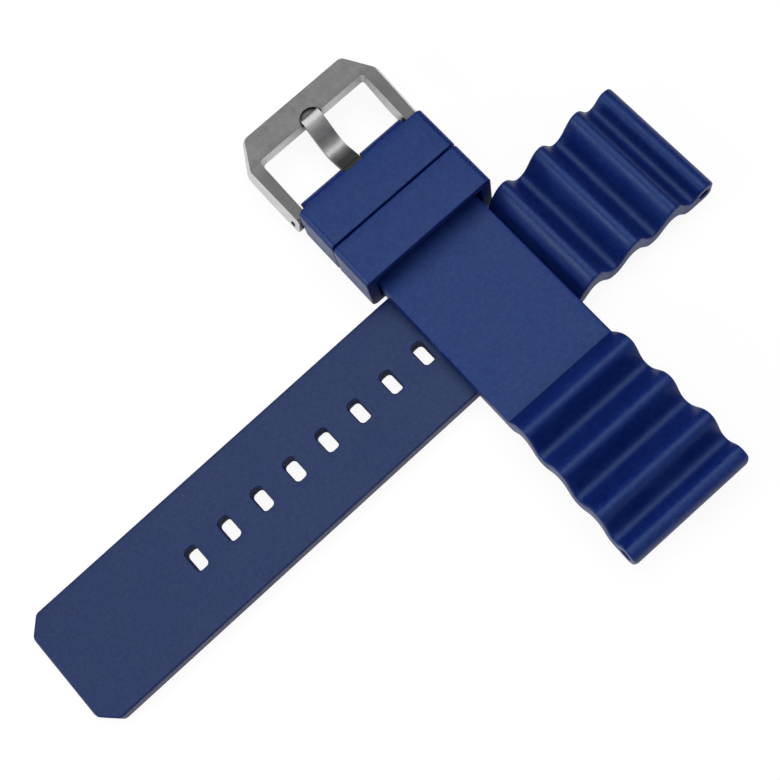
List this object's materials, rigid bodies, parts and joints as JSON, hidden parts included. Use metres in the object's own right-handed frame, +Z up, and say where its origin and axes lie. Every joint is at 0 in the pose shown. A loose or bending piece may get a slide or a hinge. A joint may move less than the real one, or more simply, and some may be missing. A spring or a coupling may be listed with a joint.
{
  "type": "rubber dive strap",
  "caption": "Rubber dive strap in two halves with waved lug ends, adjusting slots, steel pin buckle and keepers, laid crosswise.",
  "frame": {"origin": "on the underside of the long half, where the centre line of the short half crosses its own centre line", "axes": "+X along the long half towards its lug end, +Y towards the buckle, +Z up from the surface that the long half lies on"},
  "size_m": [0.1305, 0.096, 0.0122],
  "materials": {
    "strap_rubber": "fine matt grain",
    "buckle_steel": "brushed",
    "bar_steel": "plain turned"
  },
  "bodies": {
    "long_half": {"long_strap": "strap_rubber"},
    "short_half": {"short_strap": "strap_rubber", "bar_tube": "bar_steel", "bar_spring": "bar_steel"},
    "front_loop": {"keeper_front": "strap_rubber"},
    "rear_loop": {"keeper_rear": "strap_rubber"},
    "frame": {"buckle_frame": "buckle_steel"},
    "tongue": {"buckle_tongue": "buckle_steel"},
    "left_tip": {"bar_tip_left": "bar_steel"},
    "right_tip": {"bar_tip_right": "bar_steel"}
  },
  "joints": [
    {"name": "lift_off", "type": "slide", "parent": "long_half", "child": "short_half", "axis": [0, 0, 1], "range_m": [0, 0.06]},
    {"name": "keeper_front_slide", "type": "slide", "parent": "short_half", "child": "front_loop", "axis": [-0.0131, -0.9999, 0], "range_m": [0, 0.00025]},
    {"name": "keeper_rear_slide", "type": "slide", "parent": "short_half", "child": "rear_loop", "axis": [-0.0131, -0.9999, 0], "range_m": [0, 0.0004]},
    {"name": "frame_hinge", "type": "hinge", "parent": "short_half", "child": "frame", "pos_m": [0.0004, 0.03085, 0.00515], "axis": [0.9999, -0.0131, 0], "range_deg": [-75, 30]},
    {"name": "tongue_hinge", "type": "hinge", "parent": "frame", "child": "tongue", "pos_m": [0.0004, 0.03085, 0.00515], "axis": [0.9999, -0.0131, 0], "range_deg": [0, 70]},
    {"name": "tip_left_slide", "type": "slide", "parent": "short_half", "child": "left_tip", "axis": [-0.9999, 0.0131, 0], "range_m": [0, 0.00175], "stiffness_N_per_m": 400, "springref_m": -0.002, "deforming": ["bar_spring"]},
    {"name": "tip_right_slide", "type": "slide", "parent": "short_half", "child": "right_tip", "axis": [0.9999, -0.0131, 0], "range_m": [0, 0.00175], "stiffness_N_per_m": 400, "springref_m": -0.002, "deforming": ["bar_spring"]}
  ]
}
